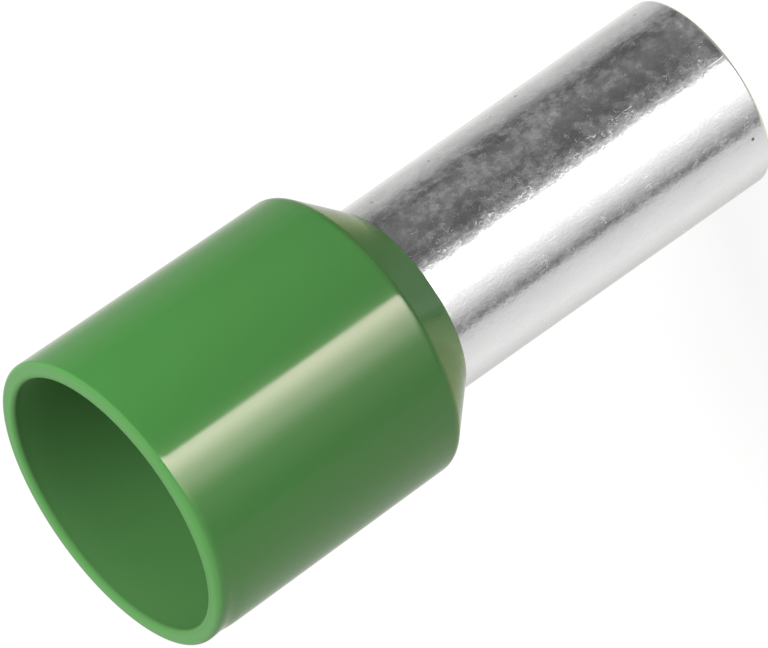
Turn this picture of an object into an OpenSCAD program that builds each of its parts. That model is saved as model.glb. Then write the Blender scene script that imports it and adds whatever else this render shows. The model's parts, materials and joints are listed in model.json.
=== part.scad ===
/* [Sleeve] */
// Bore of the sleeve, for the stripped conductor
sleeve_bore_d = 5.8; // [5.5:0.1:5.9]
// Wall of the sleeve
sleeve_wall = 0.2; // [0.2:0.05:0.3]
// Length of sleeve that stands out of the collar
sleeve_reach = 11.7; // [8:0.1:18]
// Rounding on the outer edge of the sleeve's tip
tip_edge_r = 0.12; // [0.05:0.01:0.15]
// Rounding on the inner edge of the sleeve's tip
tip_inner_r = 0.03; // [0:0.01:0.04]
// Rounding on the rim of the flare
flare_rim_r = 0.05; // [0:0.01:0.09]

/* [Collar] */
// Bore for the insulated wire
wire_bore_d = 8.6; // [8.4:0.1:8.8]
// Wall at the mouth
mouth_wall = 0.5; // [0.4:0.02:0.8]
// Draft on the outside of the body, which thins its wall towards the shoulder
body_draft = 0.88; // [0:0.04:1]
// Length of the collar
collar_len = 10.7; // [9:0.1:14]
// Height of the cone between the lip and the shoulder
cone_len = 1.55; // [1.3:0.05:1.8]
// Thickness of the lip where the cone ends on the sleeve
lip_wall = 0.08; // [0.05:0.01:0.2]
// Rounding of the shoulder
shoulder_r = 0.4; // [0.1:0.05:0.6]
// Rounding on the outer edge of the mouth
mouth_edge_r = 0.12; // [0.05:0.01:0.15]
// Rounding on the inner edge of the mouth
mouth_lead_r = 0.15; // [0.05:0.01:0.18]

/* [Seat of the sleeve in the collar] */
// Length over which the collar grips the sleeve
grip_len = 0.45; // [0.35:0.05:1]
// Angle between the axis and the funnel that the flare rests on
funnel_angle = 45; // [40:1:50]
// Radial room between the rim of the flare and the wire bore
flare_inset = 0.4; // [0.3:0.05:0.6]
// Radius that the sleeve bends round where its flare begins
bend_r = 0.4; // [0.2:0.05:0.5]
// Rounding between the funnel and the wire bore
funnel_top_r = 0.3; // [0.1:0.05:0.4]
// Radial gap between the sleeve and the collar, 0 for the press fit
grip_gap = 0; // [0:0.01:0.05]

/* [Hidden] */

$fn = 128;
// Straight steps in each rounded corner
arc_steps = 6;

bore_radius = sleeve_bore_d / 2;
sleeve_radius = bore_radius + sleeve_wall;
seat_radius = sleeve_radius + grip_gap;
wire_radius = wire_bore_d / 2;
flare_radius = wire_radius - flare_inset;
mouth_radius = wire_radius + mouth_wall;
shoulder_radius = mouth_radius - (collar_len - cone_len) * tan(body_draft);

// Heights, from the sleeve's tip up to the collar's mouth
lip_z = sleeve_reach;
shoulder_z = lip_z + cone_len;
bend_z = lip_z + grip_len;
funnel_top_z = bend_z + (wire_radius - seat_radius) / tan(funnel_angle);
flare_z = bend_z + (flare_radius - sleeve_radius) / tan(funnel_angle);
mouth_z = lip_z + collar_len;

function unit(v) = v / norm(v);
function heading(v) = atan2(v[1], v[0]);

// Turn from one heading to another, the short way round
function turn(from, to) =
    let (d = to - from)
    d > 180 ? d - 360 : d < -180 ? d + 360 : d;

// Points that replace a corner by an arc tangent to both of its sides
function rounded_corner(before, corner, after, r) =
    r == 0 ? [corner] :
    let (
        back = unit(before - corner),
        ahead = unit(after - corner),
        half = acos(back * ahead) / 2,
        centre = corner + unit(back + ahead) * r / sin(half),
        start = heading(corner + back * r / tan(half) - centre),
        end = heading(corner + ahead * r / tan(half) - centre),
        step = turn(start, end) / arc_steps
    )
    [for (i = [0:arc_steps]) centre + r * [cos(start + step * i), sin(start + step * i)]];

// Closed outline from corners given as [distance from the axis, height, rounding]
function outline(corners) =
    let (
        n = len(corners),
        points = [for (c = corners) [c[0], c[1]]]
    )
    [for (i = [0:n - 1])
        each rounded_corner(points[(i + n - 1) % n], points[i], points[(i + 1) % n], corners[i][2])];

// Thin copper tube, straight from the tip to the bend and flared beyond it
module sleeve() {
    wall_across = sleeve_wall * cos(funnel_angle);
    wall_up = sleeve_wall * sin(funnel_angle);
    inner_bend_z = bend_z + sleeve_wall * tan(funnel_angle / 2);

    color([0.80, 0.80, 0.82])
        rotate_extrude()
            polygon(outline([
                [bore_radius, 0, tip_inner_r],
                [sleeve_radius, 0, tip_edge_r],
                [sleeve_radius, bend_z, bend_r],
                [flare_radius, flare_z, flare_rim_r],
                [flare_radius - wall_across, flare_z + wall_up, flare_rim_r],
                [bore_radius, inner_bend_z, bend_r + sleeve_wall]
            ]));
}

// Moulded plastic collar: grip on the sleeve, cone and funnel, drafted body, wire bore
module collar() {
    color([0.30, 0.56, 0.29])
        rotate_extrude()
            polygon(outline([
                [seat_radius, lip_z, 0],
                [seat_radius + lip_wall, lip_z, 0],
                [shoulder_radius, shoulder_z, shoulder_r],
                [mouth_radius, mouth_z, mouth_edge_r],
                [wire_radius, mouth_z, mouth_lead_r],
                [wire_radius, funnel_top_z, funnel_top_r],
                [seat_radius, bend_z, bend_r]
            ]));
}

sleeve();
collar();
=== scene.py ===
import json
import math

import bpy
from mathutils import Matrix, Vector


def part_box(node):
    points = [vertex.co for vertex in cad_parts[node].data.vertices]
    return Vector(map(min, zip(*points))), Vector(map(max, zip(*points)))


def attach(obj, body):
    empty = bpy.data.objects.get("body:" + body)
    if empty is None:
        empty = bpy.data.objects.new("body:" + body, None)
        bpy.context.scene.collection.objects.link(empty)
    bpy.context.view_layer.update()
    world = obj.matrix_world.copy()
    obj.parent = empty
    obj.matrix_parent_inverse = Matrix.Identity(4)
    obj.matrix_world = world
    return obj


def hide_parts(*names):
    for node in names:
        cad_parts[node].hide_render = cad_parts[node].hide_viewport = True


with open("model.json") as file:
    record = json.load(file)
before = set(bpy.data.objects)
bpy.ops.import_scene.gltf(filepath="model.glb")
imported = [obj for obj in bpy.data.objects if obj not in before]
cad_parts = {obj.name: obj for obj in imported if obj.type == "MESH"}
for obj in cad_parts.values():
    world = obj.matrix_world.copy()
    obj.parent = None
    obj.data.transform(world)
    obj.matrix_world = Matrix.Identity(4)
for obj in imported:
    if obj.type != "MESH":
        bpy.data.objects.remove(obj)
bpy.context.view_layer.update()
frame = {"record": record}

mm = 0.001
record = frame["record"]
boreOf = {m["name"]: m["dims"]["r_mm"] * mm for m in record["mounts"]}
sleeveLow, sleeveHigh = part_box("sleeve")
collarLow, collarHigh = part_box("collar")
mouthZ = collarHigh.z
lipZ = collarLow.z
print("frame loaded, mouth at", round(mouthZ / mm, 2), "mm")


class Wire:
    def __init__(self, graph, socket):
        self.graph = graph
        self.socket = socket

    def __add__(self, other):
        return self.graph.maths("ADD", self, other)

    def __sub__(self, other):
        return self.graph.maths("SUBTRACT", self, other)

    def __rsub__(self, other):
        return self.graph.maths("SUBTRACT", other, self)

    def __mul__(self, other):
        return self.graph.maths("MULTIPLY", self, other)

    def __truediv__(self, other):
        return self.graph.maths("DIVIDE", self, other)

    def __rtruediv__(self, other):
        return self.graph.maths("DIVIDE", other, self)

    def __pow__(self, other):
        return self.graph.maths("POWER", self, other)

    __radd__ = __add__
    __rmul__ = __mul__

    def sibling(self, name):  # another output of the same node
        return Wire(self.graph, self.socket.node.outputs[name])


class Graph:
    def __init__(self, tree):
        self.tree = tree
        tree.nodes.clear()

    def add(self, kind, output, settings=None, inputs=None):  # gives back that output, or the node
        node = self.tree.nodes.new(kind)
        for name, value in (settings or {}).items():
            if name == "stops":
                self.setStops(node.color_ramp, value)
            else:
                setattr(node, name, value)
        for name, value in (inputs or {}).items():
            if isinstance(value, Wire):
                self.tree.links.new(value.socket, node.inputs[name])
            else:
                node.inputs[name].default_value = value
        return Wire(self, node.outputs[output]) if output is not None else node

    def setStops(self, ramp, stops):
        while len(ramp.elements) < len(stops):
            ramp.elements.new(0.5)
        for element, (place, level) in zip(ramp.elements, stops):
            element.position = place
            element.color = (level, level, level, 1)

    def maths(self, operation, *values):
        return self.add("ShaderNodeMath", 0, {"operation": operation}, dict(enumerate(values)))

    def limit(self, value):  # keeps a value between 0 and 1
        return self.add("ShaderNodeClamp", 0, None, {"Value": value})

    def step(self, value, low, high):  # smooth rise from 0 at low to 1 at high
        return self.add("ShaderNodeMapRange", 0, {"interpolation_type": "SMOOTHSTEP"},
                        {"Value": value, "From Min": low, "From Max": high})

    def mixColour(self, share, first, second):
        return self.add("ShaderNodeMix", 2, {"data_type": "RGBA"}, {0: share, 6: first, 7: second})

    def stretch(self, vector, factors):
        return self.add("ShaderNodeVectorMath", 0, {"operation": "MULTIPLY"}, {0: vector, 1: factors})

    def noise(self, place, look):  # look: stretch along the axis, scale per mm, detail, roughness
        lengthwise, scale, detail, rough = look
        return self.add("ShaderNodeTexNoise", "Fac", None, {
            "Vector": self.stretch(place, (1, 1, lengthwise)),
            "Scale": scale, "Detail": detail, "Roughness": rough})


def newMaterial(name, colour):
    material = bpy.data.materials.new(name)
    material.use_nodes = True
    material.diffuse_color = (*colour, 1)
    return material, Graph(material.node_tree)


def millimetres(graph):  # place on the piece, in mm
    place = graph.add("ShaderNodeTexCoord", "Object")
    return graph.stretch(place, (1 / mm, 1 / mm, 1 / mm))


def roundedCorner(before, corner, after, radius, steps):  # an arc that touches both sides of the corner
    if radius == 0:
        return [corner]
    back = (before - corner).normalized()
    ahead = (after - corner).normalized()
    half = back.angle(ahead) / 2
    centre = corner + (back + ahead).normalized() * radius / math.sin(half)
    first = corner + back * radius / math.tan(half) - centre
    last = corner + ahead * radius / math.tan(half) - centre
    sweep = math.atan2(first.x * last.y - first.y * last.x, first.dot(last))
    return [centre + Matrix.Rotation(sweep * i / steps, 2) @ first for i in range(steps + 1)]


def outline(corners, steps):  # corners: distance from the axis, height, rounding
    points = [Vector((r, z)) for r, z, _ in corners]
    count = len(points)
    loop = []
    for i, (_, _, radius) in enumerate(corners):
        loop += roundedCorner(points[i - 1], points[i], points[(i + 1) % count], radius, steps)
    return loop


def stations(loop, pitch, hold):  # where the rings stand along a closed outline
    rings = []
    for i, start in enumerate(loop):
        run = loop[(i + 1) % len(loop)] - start
        rings.append(start)
        if run.length > 4 * hold:  # a close ring at each end keeps the shading of a long side flat
            inner = run.length - 2 * hold
            pieces = max(1, round(inner / pitch))
            along = run.normalized()
            rings += [start + along * (hold + inner * k / pieces) for k in range(pieces + 1)]
    return rings


def refine(rings, above, pitch):  # closer rings above a height
    finer = []
    for i, (r, z) in enumerate(rings):
        finer.append((r, z))
        nextR, nextZ = rings[(i + 1) % len(rings)]
        run = math.hypot(nextR - r, nextZ - z)
        if min(z, nextZ) > above and run > 1.5 * pitch:
            pieces = round(run / pitch)
            for k in range(1, pieces):
                share = k / pieces
                finer.append((r + (nextR - r) * share, z + (nextZ - z) * share))
    return finer


# 1 where the wall looks to a side, 0 across it and -1 away; sides are degrees from the front towards -X
def facing(turn, side):
    return math.cos(turn - math.radians(270 - side))


def facingOnly(turn, side):  # the same, with 0 for all that looks away
    return max(0, facing(turn, side))


def lathe(name, rings, segments, shape=None):  # shape moves each point outwards and upwards
    vertices = []
    for r, z in rings:
        for k in range(segments):
            turn = 2 * math.pi * k / segments
            outward, upward = shape(r, z, turn) if shape else (0, 0)
            reach = r + outward
            vertices.append((reach * math.cos(turn), reach * math.sin(turn), z + upward))
    faces = []
    count = len(rings)
    for i in range(count):
        here, above = i * segments, (i + 1) % count * segments
        for k in range(segments):
            after = (k + 1) % segments
            faces.append((here + k, here + after, above + after, above + k))
    mesh = bpy.data.meshes.new(name)
    mesh.from_pydata(vertices, [], faces)
    mesh.shade_smooth()
    mesh.validate()
    piece = bpy.data.objects.new(name, mesh)
    bpy.context.scene.collection.objects.link(piece)
    return piece


sleeve = {
    "bore": boreOf["conductor_bore"],
    "outside": boreOf["terminal_end"],
    "flare": sleeveHigh.x,
    "flareAngle": math.radians(45),
    "bendAbove": 0.45 * mm,  # height of the bend above the collar's lip
    "bendRadius": 0.4 * mm,
    "tipEdge": 0.12 * mm,
    "tipInner": 0.03 * mm,
    "flareRim": 0.05 * mm,
    "segments": 256,
    "arcSteps": 8,
    "ringPitch": 0.4 * mm,
    "ringHold": 0.02 * mm,
}


def makeSleeve(s):
    wall = s["outside"] - s["bore"]
    bend = lipZ + s["bendAbove"]
    flareTop = bend + (s["flare"] - s["outside"]) / math.tan(s["flareAngle"])
    corners = [
        (s["bore"], sleeveLow.z, s["tipInner"]),
        (s["outside"], sleeveLow.z, s["tipEdge"]),
        (s["outside"], bend, s["bendRadius"]),
        (s["flare"], flareTop, s["flareRim"]),
        (s["flare"] - wall * math.cos(s["flareAngle"]),
         flareTop + wall * math.sin(s["flareAngle"]), s["flareRim"]),
        (s["bore"], bend + wall * math.tan(s["flareAngle"] / 2), s["bendRadius"] + wall),
    ]
    rings = stations(outline(corners, s["arcSteps"]), s["ringPitch"], s["ringHold"])
    piece = lathe("TinnedSleeve", rings, s["segments"])
    piece.data.materials.append(tinnedCopper(tin))
    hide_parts("sleeve")
    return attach(piece, "root")


tin = {
    "bright": (0.805, 0.82, 0.855),
    "stained": (0.775, 0.79, 0.823),
    "dull": (0.83, 0.845, 0.878),
    "speck": (0.16, 0.15, 0.15),
    "smooth": 0.13,  # roughness
    "scuffed": 0.25,
    "marked": 0.40,
    "haze": 0.12,  # share of matt tin where the plating is cloudiest
    "hazeEven": 0.3,  # how much of the clouds is even, and how much is mottled
    "hazeMottled": 1.4,
    "mottleGain": 2.5,
    "mottleDrop": 0.75,
    "hazeScuffs": 0.3,  # how far the clouds are scuffed too
    "leastWear": 0.35,
    # heights and depths, in mm
    "rippleHeight": 0.0066,
    "frostHeight": 0.0042,
    "grainHeight": 0.0030,
    "pitDepth": 0.0025,
    "scratchDepth": 0.001,
    # noises: stretch along the axis, scale per mm, detail, roughness
    "ripple": (0.45, 1.2, 2, 0.5),
    "frost": (0.8, 5.0, 3, 0.6),
    "grain": (0.8, 12.0, 2, 0.6),
    "cloud": (0.8, 1.0, 7, 0.7),
    "mottle": (0.8, 4.0, 3, 0.7),
    "grit": (0.8, 7.0, 4, 0.75),
    "wear": (1, 0.5, 1, 0.5),
    "stain": (0.8, 0.8, 5, 0.65),
    "curl": (0.6, 3.6, 2, 0.5),
    "curlPatch": (1, 2.6, 3, 0.6),
    "hair": (0.12, 3.1, 1, 0.5),
    "hairPatch": (1, 1.3, 1, 0.5),
    # levels of those noises between which each mark sets in
    "cloudLevels": (0.38, 0.64),
    "gritLevels": (0.42, 0.66),
    "stainLevels": (0.35, 0.65),
    "curlPatchLevels": (0.52, 0.62),
    "hairPatchLevels": (0.56, 0.64),
    "curlWidth": (0.004, 0.018),
    "hairWidth": (0.002, 0.012),
    # spots: cells per mm, radius in the cell, draw above which a cell has one
    "pits": (2.6, (0.03, 0.10), (0.86, 0.9)),
    "specks": (1.0, (0.03, 0.08), (0.76, 0.78)),
}


def thinLines(g, noise, width):  # where a noise passes its middle
    return 1 - g.step(g.maths("ABSOLUTE", noise - 0.5), *width)


def spots(g, place, look):  # look: cells per mm, radius in the cell, draw above which a cell has one
    scale, size, draw = look
    cell = g.add("ShaderNodeTexVoronoi", "Distance", None, {"Vector": place, "Scale": scale})
    pick = g.add("ShaderNodeSeparateColor", 0, None, {0: cell.sibling("Color")})
    return (1 - g.step(cell, *size)) * g.step(pick, *draw)


def tinnedCopper(t):
    material, g = newMaterial("TinnedCopper", t["bright"])
    place = millimetres(g)
    ripple = g.noise(place, t["ripple"])
    frost = g.noise(place, t["frost"])
    grain = g.noise(place, t["grain"])
    mottle = g.limit(t["mottleGain"] * g.noise(place, t["mottle"]) - t["mottleDrop"])
    haze = g.step(g.noise(place, t["cloud"]), *t["cloudLevels"]) * (t["hazeEven"] + t["hazeMottled"] * mottle)
    stain = g.step(g.noise(place, t["stain"]), *t["stainLevels"])

    wear = t["leastWear"] + g.noise(place, t["wear"])
    grit = g.step(g.noise(place, t["grit"]), *t["gritLevels"])
    scuffs = g.limit(grit * wear + t["hazeScuffs"] * haze)
    marks = thinLines(g, g.noise(place, t["curl"]), t["curlWidth"])
    marks = marks * g.step(g.noise(place, t["curlPatch"]), *t["curlPatchLevels"])
    scratches = thinLines(g, g.noise(place, t["hair"]), t["hairWidth"])
    scratches = scratches * g.step(g.noise(place, t["hairPatch"]), *t["hairPatchLevels"])
    pits = spots(g, place, t["pits"])
    specks = spots(g, place, t["specks"])

    height = (t["rippleHeight"] * ripple + t["frostHeight"] * frost + t["grainHeight"] * grain
              - t["pitDepth"] * pits - t["scratchDepth"] * scratches)
    bump = g.add("ShaderNodeBump", 0, None, {"Strength": 1.0, "Distance": mm, "Height": height})
    plate = g.mixColour(stain, (*t["bright"], 1), (*t["stained"], 1))
    plate = g.mixColour(g.limit(haze), plate, (*t["dull"], 1))
    colour = g.mixColour(specks, plate, (*t["speck"], 1))
    rough = t["smooth"] + (t["scuffed"] - t["smooth"]) * scuffs
    rough = rough + (t["marked"] - rough) * marks
    shader = g.add("ShaderNodeBsdfPrincipled", 0, None, {
        "Base Color": colour, "Metallic": 1 - t["haze"] * haze, "Roughness": g.limit(rough), "Normal": bump})
    g.add("ShaderNodeOutputMaterial", None, None, {"Surface": shader})
    return material


collar = {
    "seat": boreOf["terminal_end"],
    "wireBore": boreOf["wire_entry"],
    "mouth": collarHigh.x,
    "draft": math.radians(0.88),
    "coneHeight": 1.55 * mm,
    "lipWall": 0.08 * mm,
    "shoulderRound": 0.4 * mm,
    "mouthEdge": 0.12 * mm,
    "mouthLead": 0.15 * mm,
    "funnelAngle": math.radians(45),
    "funnelRound": 0.3 * mm,
    "sinkSide": 80,  # slight sink in the wall behind the rim, on this side
    "sinkDepth": 0.045 * mm,
    "sinkBelow": 0.5 * mm,
    "sinkWidth": 0.3 * mm,
    "wornSide": 45,  # the rim's outer edge is rounder there
    "wornDepth": 0.13 * mm,
    "wornHeight": 0.35 * mm,
    "sideSharpness": 4,  # how closely the sink and the rounder edge keep to their sides
    "leanSide": 0,  # the bore leans in a little at the front of the mouth
    "leanInward": 0.15 * mm,
    "leanHeight": 1.2 * mm,
    "leanEven": 0.4,  # share of the lean that goes all round
    "slopeSide": 20,  # the rim's face slopes outwards a little there
    "faceSlope": 0.18,
    "mouthPitch": 0.08 * mm,
    "segments": 256,
    "arcSteps": 8,
    "ringPitch": 0.4 * mm,
    "ringHold": 0.02 * mm,
}


def makeCollar(c):
    shoulderZ = lipZ + c["coneHeight"]
    shoulder = c["mouth"] - (mouthZ - shoulderZ) * math.tan(c["draft"])
    bend = lipZ + sleeve["bendAbove"]
    funnelTop = bend + (c["wireBore"] - c["seat"]) / math.tan(c["funnelAngle"])
    corners = [
        (c["seat"], lipZ, 0),
        (c["seat"] + c["lipWall"], lipZ, 0),
        (shoulder, shoulderZ, c["shoulderRound"]),
        (c["mouth"], mouthZ, c["mouthEdge"]),
        (c["wireBore"], mouthZ, c["mouthLead"]),
        (c["wireBore"], funnelTop, c["funnelRound"]),
        (c["seat"], bend, sleeve["bendRadius"]),
    ]

    innerEdge = c["wireBore"] + c["mouthLead"]
    outerEdge = c["mouth"] - c["mouthEdge"]

    def mouthShape(r, z, turn):
        depth = mouthZ - z
        nearMouth = max(0, 1 - depth / c["leanHeight"])
        lean = (c["leanEven"] + (1 - c["leanEven"]) * facing(turn, c["leanSide"])) * nearMouth ** 2
        sink = math.exp(-((depth - c["sinkBelow"]) / c["sinkWidth"]) ** 2)
        sink = sink * facingOnly(turn, c["sinkSide"]) ** c["sideSharpness"]
        worn = max(0, 1 - depth / c["wornHeight"]) ** 2
        worn = worn * facingOnly(turn, c["wornSide"]) ** c["sideSharpness"]
        across = min(1, max(0, (r - innerEdge) / (outerEdge - innerEdge)))  # 0 on the bore, 1 on the outside
        hollow = c["sinkDepth"] * sink + c["wornDepth"] * worn
        outward = -c["leanInward"] * lean * (1 - across) - hollow * across
        slope = c["faceSlope"] * facingOnly(turn, c["slopeSide"]) * nearMouth
        return outward, -slope * max(0, r - innerEdge)

    rings = stations(outline(corners, c["arcSteps"]), c["ringPitch"], c["ringHold"])
    rings = refine(rings, mouthZ - c["leanHeight"] - c["ringPitch"], c["mouthPitch"])
    piece = lathe("PlasticCollar", rings, c["segments"], mouthShape)
    piece.data.materials.append(greenPlastic(plastic))
    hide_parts("collar")
    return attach(piece, "root")


plastic = {
    "green": (0.066, 0.258, 0.058),
    "deepGreen": (0.065, 0.219, 0.057),  # darker towards the shoulder
    # painted shade and a painted veil of reflected light: a greyer, darker green inside the bore
    "borePaintedShadeAndVeil": (0.075, 0.222, 0.064),
    "smooth": 0.095,  # roughness
    "dull": 0.12,
    "dullLevels": (0.4, 0.65),  # levels of the swirl between which the gloss dulls
    "swirlShade": 0.3,  # how unevenly the deeper green comes in
    "index": 1.25,  # weak gloss at the edges
    "glossTint": (3.13, 2.44, 2.38),  # and full gloss where the surface faces the eye
    # the mould's core leaves the bore and its edge matt; distances in mm
    "coreRough": 0.45,
    "coreAboveLip": (3, 4),
    "coreWall": (0.02, 0.1),  # beyond the bore's radius
    "coreEdge": (0.6, 1.1),  # shares of the edge's rounding
    "veil": 0.9,  # a matt coat on the bore, which ends below the mouth
    "veilRough": 0.6,
    "veilIndex": 1.5,
    "veilBelowMouth": (0.4, 0.1),
    "waveHeight": 0.010,  # heights in mm
    "grainHeight": 0.0004,
    # noises: stretch along the axis, scale per mm, detail, roughness
    "swirl": (0.5, 0.45, 3, 0.5),
    "grain": (1, 6.0, 3, 0.6),
    "wave": (0.7, 0.33, 1, 0.4),
}


def greenPlastic(p):
    material, g = newMaterial("GreenPlastic", p["green"])
    place = millimetres(g)
    swirl = g.noise(place, p["swirl"])
    height = p["waveHeight"] * g.noise(place, p["wave"]) + p["grainHeight"] * g.noise(place, p["grain"])
    bump = g.add("ShaderNodeBump", 0, None, {"Strength": 1.0, "Distance": mm, "Height": height})

    radius = g.add("ShaderNodeVectorMath", "Value", {"operation": "LENGTH"}, {0: g.stretch(place, (1, 1, 0))})
    upward = g.add("ShaderNodeSeparateXYZ", "Z", None, {0: place})
    bore, edge = collar["wireBore"] / mm, collar["mouthLead"] / mm
    top, bottom = mouthZ / mm, lipZ / mm
    core = g.step(upward, *[bottom + rise for rise in p["coreAboveLip"]])
    inside = (1 - g.step(radius, *[bore + gap for gap in p["coreWall"]])) * core
    matt = (1 - g.step(radius, *[bore + share * edge for share in p["coreEdge"]])) * core
    veil = p["veil"] * inside * (1 - g.step(upward, *[top - drop for drop in p["veilBelowMouth"]]))

    rough = p["smooth"] + (p["dull"] - p["smooth"]) * g.step(swirl, *p["dullLevels"])
    rough = rough + (p["coreRough"] - rough) * matt
    towardsLip = (top - upward) / (top - bottom)  # 0 at the mouth, 1 at the lip
    shade = g.limit(towardsLip + p["swirlShade"] * (swirl - 0.5))
    colour = g.mixColour(shade, (*p["green"], 1), (*p["deepGreen"], 1))
    # the bore takes a green with painted shade and a painted veil of reflected light
    colour = g.mixColour(inside, colour, (*p["borePaintedShadeAndVeil"], 1))
    shader = g.add("ShaderNodeBsdfPrincipled", 0, None, {
        "Base Color": colour, "Roughness": rough, "Normal": bump,
        "IOR": p["index"], "Specular Tint": (*p["glossTint"], 1),
        "Coat Weight": veil, "Coat Roughness": p["veilRough"], "Coat IOR": p["veilIndex"]})
    g.add("ShaderNodeOutputMaterial", None, None, {"Surface": shader})
    return material


makeSleeve(sleeve)
collarPiece = makeCollar(collar)
print("pieces made")


floor = {
    "size": 2.0,
    "paint": (0.5, 0.5, 0.5),
    "lift": 0.7,  # share of plain white over the paint, and the paint holds the shadow
    "glow": 1.25,
}


def makeFloor(f):
    half = f["size"] / 2
    mesh = bpy.data.meshes.new("Floor")
    corners = [(-half, -half, 0), (half, -half, 0), (half, half, 0), (-half, half, 0)]
    mesh.from_pydata(corners, [], [(0, 1, 2, 3)])
    plane = bpy.data.objects.new("Floor", mesh)
    plane.location.z = sleeveLow.z
    plane.visible_shadow = False  # the strip light also shines from below the horizon
    bpy.context.scene.collection.objects.link(plane)
    material, g = newMaterial("PaleFloor", f["paint"])
    path = g.add("ShaderNodeLightPath", "Is Camera Ray")
    matt = g.add("ShaderNodeBsdfDiffuse", 0, None, {"Color": (*f["paint"], 1)})
    white = g.add("ShaderNodeEmission", 0, None, {"Color": (1, 1, 1, 1), "Strength": f["glow"]})
    clear = g.add("ShaderNodeBsdfTransparent", 0)
    seen = g.add("ShaderNodeMixShader", 0, None, {0: path * f["lift"], 1: matt, 2: white})
    glossy = g.maths("MAXIMUM", path.sibling("Is Glossy Ray"), path.sibling("Is Transmission Ray"))
    surface = g.add("ShaderNodeMixShader", 0, None, {0: glossy, 1: seen, 2: clear})
    g.add("ShaderNodeOutputMaterial", None, None, {"Surface": surface})
    mesh.materials.append(material)


studio = {
    "fill": 0.33,  # even light from all round
    "walls": 0.92,  # what gloss sees above the panels
    "under": 0.31,  # and straight below them, behind the part
    "underFront": 0.55,  # and in front of it, where it reaches a little higher
    "frontLift": 0.08,
    "underSlope": 1.0,  # the panels reach lower on the right
    "tint": (1.0, 0.98, 0.94),
    "underTint": (1.0, 0.94, 0.66),  # behind the part
    # how high a direction points where one gives way to the next, and how far to the front
    "wallsRise": (-0.05, 0.2),
    "underRise": (-0.86, -0.66),
    "warmRise": (-0.75, -0.5),
    "frontDepth": (0.02, 0.3),
    "peak": 5.0,
    # brightness of the panels round the part, by side
    "left": [
        (-180, 0.84), (-160, 0.95), (-150, 0.80), (-136, 0.635), (-124, 0.57), (-119, 0.50), (-115, 0.46),
        (-112, 0.31), (-109.5, 0.29), (-107.5, 0.36), (-105.5, 0.33), (-102.5, 0.16), (-92, 0.105),
        (-86, 0.11), (-76, 0.17), (-66, 0.17), (-56, 0.155), (-44, 0.12), (-28, 0.11), (-22, 0.15),
        (-17, 0.25), (-13, 0.50), (-9, 0.88), (-5.5, 1.25), (-3, 5.0), (0, 5.0),
    ],
    "right": [
        (0, 5.0), (8, 5.0), (14, 3.2), (20, 1.75), (24, 1.38), (28, 1.2), (32, 1.1), (36, 1.01), (40, 0.91),
        (44, 0.78), (48, 0.65), (54, 0.47), (60, 0.32), (63, 0.14), (66, 0.13), (69.5, 0.60), (73, 0.71),
        (80, 0.785), (96, 0.88), (118, 0.965), (136, 0.84), (150, 0.725), (160, 0.68), (180, 0.84),
    ],
}


def makeWorld(w):
    world = bpy.data.worlds.new("Studio")
    bpy.context.scene.world = world
    world.use_nodes = True
    world.cycles.sampling_method = "NONE"  # it is even where it isn't mirrored
    g = Graph(world.node_tree)
    way = g.add("ShaderNodeTexCoord", "Generated")
    x = g.add("ShaderNodeSeparateXYZ", "X", None, {0: way})
    y, z = x.sibling("Y"), x.sibling("Z")
    path = g.add("ShaderNodeLightPath", "Is Camera Ray")
    mirrored = path.sibling("Is Glossy Ray")
    seen = g.maths("MAXIMUM", path, path.sibling("Is Transmission Ray"))

    turn = g.maths("ARCTAN2", -1 * x, -1 * y) / (2 * math.pi) + 0.5
    leftStops = [((side + 180) / 180, level / w["peak"]) for side, level in w["left"]]
    rightStops = [(side / 180, level / w["peak"]) for side, level in w["right"]]
    leftPanels = g.add("ShaderNodeValToRGB", 0, {"stops": leftStops}, {0: 2 * turn})
    rightPanels = g.add("ShaderNodeValToRGB", 0, {"stops": rightStops}, {0: 2 * turn - 1})
    onRight = g.maths("GREATER_THAN", turn, 0.5)
    gloss = (leftPanels + (rightPanels - leftPanels) * onRight) * w["peak"]
    gloss = gloss + (w["walls"] - gloss) * g.step(z, *w["wallsRise"])

    front = g.step(-1 * y, *w["frontDepth"])
    lowered = w["underSlope"] * g.maths("MAXIMUM", -1 * x, 0) - w["frontLift"] * front
    below = 1 - g.step(z + lowered, *w["underRise"])
    under = w["under"] + (w["underFront"] - w["under"]) * front
    gloss = gloss + (under - gloss) * below

    level = w["fill"] + (gloss - w["fill"]) * mirrored
    level = level + (1 - level) * seen
    warm = (1 - g.step(z, *w["warmRise"])) * (1 - front) * mirrored
    colour = g.mixColour(warm, (*w["tint"], 1), (*w["underTint"], 1))
    colour = g.mixColour(seen, colour, (1, 1, 1, 1))
    shade = g.add("ShaderNodeBackground", 0, None, {"Color": colour, "Strength": level})
    g.add("ShaderNodeOutputWorld", None, None, {"Surface": shade})


lamps = {
    "KeyPanel": {"turn": -47, "rise": 55, "distance": 0.20, "size": 0.13, "watts": 0.52},
    "SidePanel": {"turn": 85, "rise": 2, "distance": 0.25, "size": 0.10, "watts": 0.13},
}


def towards(turn, rise):  # direction to a side, at an angle above the floor
    a, e = math.radians(turn), math.radians(rise)
    return Vector((-math.sin(a) * math.cos(e), -math.cos(a) * math.cos(e), math.sin(e)))


def makeLamp(name, lamp, target):
    light = bpy.data.lights.new(name, "AREA")
    light.size = lamp["size"]
    light.energy = lamp["watts"]
    # its strength stays right beside the strip, which only one piece sees
    light.cycles.use_multiple_importance_sampling = False
    panel = bpy.data.objects.new(name, light)
    way = towards(lamp["turn"], lamp["rise"])
    panel.location = target + way * lamp["distance"]
    panel.rotation_euler = way.to_track_quat("Z", "Y").to_euler()
    panel.visible_glossy = False
    panel.visible_camera = False
    bpy.context.scene.collection.objects.link(panel)


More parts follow.
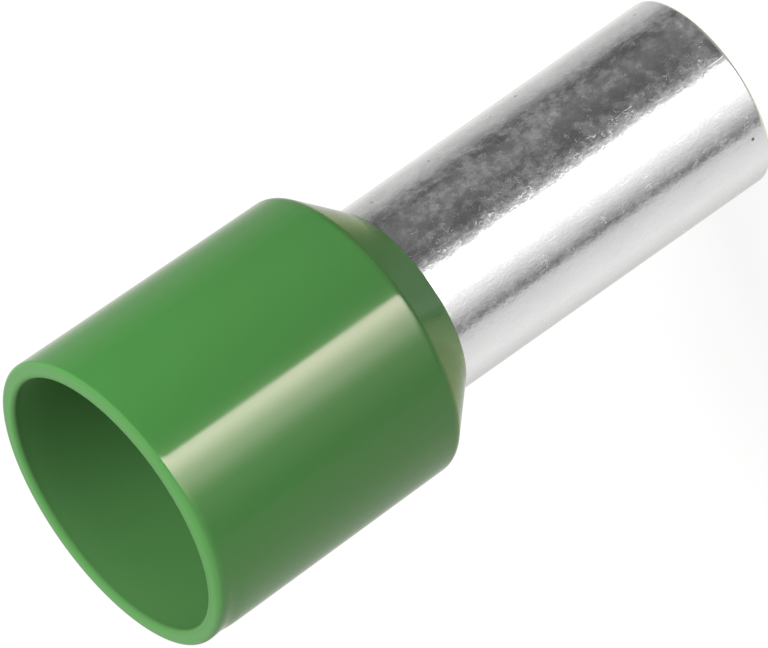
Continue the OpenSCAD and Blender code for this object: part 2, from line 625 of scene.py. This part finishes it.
strip = {
    "first": -5.8,  # the sides between which it stands
    "last": 72,
    "distance": 0.5,
    "top": 0.03,  # above the lip
    "bottom": -1.35,
    "beam": 3.2 * mm,  # a grid keeps all its light this close to the axis
    "spill": 4.0 * mm,  # and lets none pass further out
    # brightness across it, by side
    "levels": [
        (-5.8, 0), (-4.2, 11.2), (-3, 9.0), (0, 9.0), (4, 6.9), (8, 4.0), (12, 2.8), (16, 2.6), (20, 2.5),
        (24, 1.5), (28, 0.6), (32, 0.1), (34, 0), (54, 0), (60, 0.15), (63, 0.33), (67, 0.33), (70, 0),
        (72, 0),
    ],
}


def makeStrip(s, target, piece):  # a tall light that only the gloss of one piece sees
    middle = (s["first"] + s["last"]) / 2
    halfWidth = math.tan(math.radians(s["last"] - s["first"]) / 2)
    peak = max(level for _, level in s["levels"])
    height = s["top"] - s["bottom"]
    light = bpy.data.lights.new("Strip", "AREA")
    light.shape = "RECTANGLE"
    light.size = 2 * halfWidth * s["distance"]
    light.size_y = height
    light.energy = math.pi * light.size * height  # makes the levels its brightness
    light.use_nodes = True
    g = Graph(light.node_tree)
    across = g.add("ShaderNodeSeparateXYZ", "X", None, {0: g.add("ShaderNodeNewGeometry", "Parametric")})
    stops = [(0.5 - math.tan(math.radians(side - middle)) / (2 * halfWidth), level / peak)
             for side, level in reversed(s["levels"])]
    level = g.add("ShaderNodeValToRGB", 0, {"stops": stops}, {0: across}) * peak
    # aside is how far from the part's axis the light passes that leaves each spot of the strip
    spotX = g.add("ShaderNodeSeparateXYZ", "X", None, {0: g.add("ShaderNodeNewGeometry", "Position")})
    rayX = g.add("ShaderNodeSeparateXYZ", "X", None, {0: g.add("ShaderNodeNewGeometry", "Incoming")})
    spotY, rayY = spotX.sibling("Y"), rayX.sibling("Y")
    aside = g.maths("ABSOLUTE", spotX * rayY - spotY * rayX) / (rayX * rayX + rayY * rayY) ** 0.5
    level = level * (1 - g.step(aside / mm, s["beam"] / mm, s["spill"] / mm))
    glow = g.add("ShaderNodeEmission", 0, None, {"Strength": level})
    g.add("ShaderNodeOutputLight", None, None, {"Surface": glow})
    panel = bpy.data.objects.new("Strip", light)
    way = towards(middle, 0)
    panel.location = target + way * s["distance"] + Vector((0, 0, s["top"] - height / 2))
    panel.rotation_euler = way.to_track_quat("Z", "Y").to_euler()
    panel.visible_camera = False
    panel.visible_diffuse = False
    panel.visible_transmission = False
    seenBy = bpy.data.collections.new("Strip")
    seenBy.objects.link(piece)
    panel.light_linking.receiver_collection = seenBy
    bpy.context.scene.collection.objects.link(panel)


makeFloor(floor)
makeWorld(studio)
for name, lamp in lamps.items():
    makeLamp(name, lamp, Vector((0, 0, lipZ)))
makeStrip(strip, Vector((0, 0, lipZ)), collarPiece)
print("floor, world and lamps set")


camera = {
    "rise": 22.58,  # degrees above the floor
    "lean": 215.1,  # angle in the picture at which the axis runs, from the tip to the mouth
    "distance": 803.9 * mm,
    "nearest": 10 * mm,
    "sensor": 36,
    "lens": 1314.75,
    "aimBelowMouth": 10.138 * mm,
    "aimAside": -0.262 * mm,
}


def makeCamera(c):
    data = bpy.data.cameras.new("Camera")
    data.lens = c["lens"]
    data.sensor_width = c["sensor"]
    data.clip_start = c["nearest"]
    view = towards(0, c["rise"])
    axis = (Vector((0, 0, 1)) - view * view.z).normalized()
    right = Matrix.Rotation(math.radians(-c["lean"]), 3, view) @ axis
    up = view.cross(right)
    aim = Vector((c["aimAside"], 0, mouthZ - c["aimBelowMouth"]))
    eye = bpy.data.objects.new("Camera", data)
    turned = Matrix((right, up, view)).transposed().to_4x4()
    eye.matrix_world = Matrix.Translation(aim + view * c["distance"]) @ turned
    bpy.context.scene.collection.objects.link(eye)
    bpy.context.scene.camera = eye


makeCamera(camera)
bpy.context.scene.view_settings.view_transform = "Standard"
print("camera set")
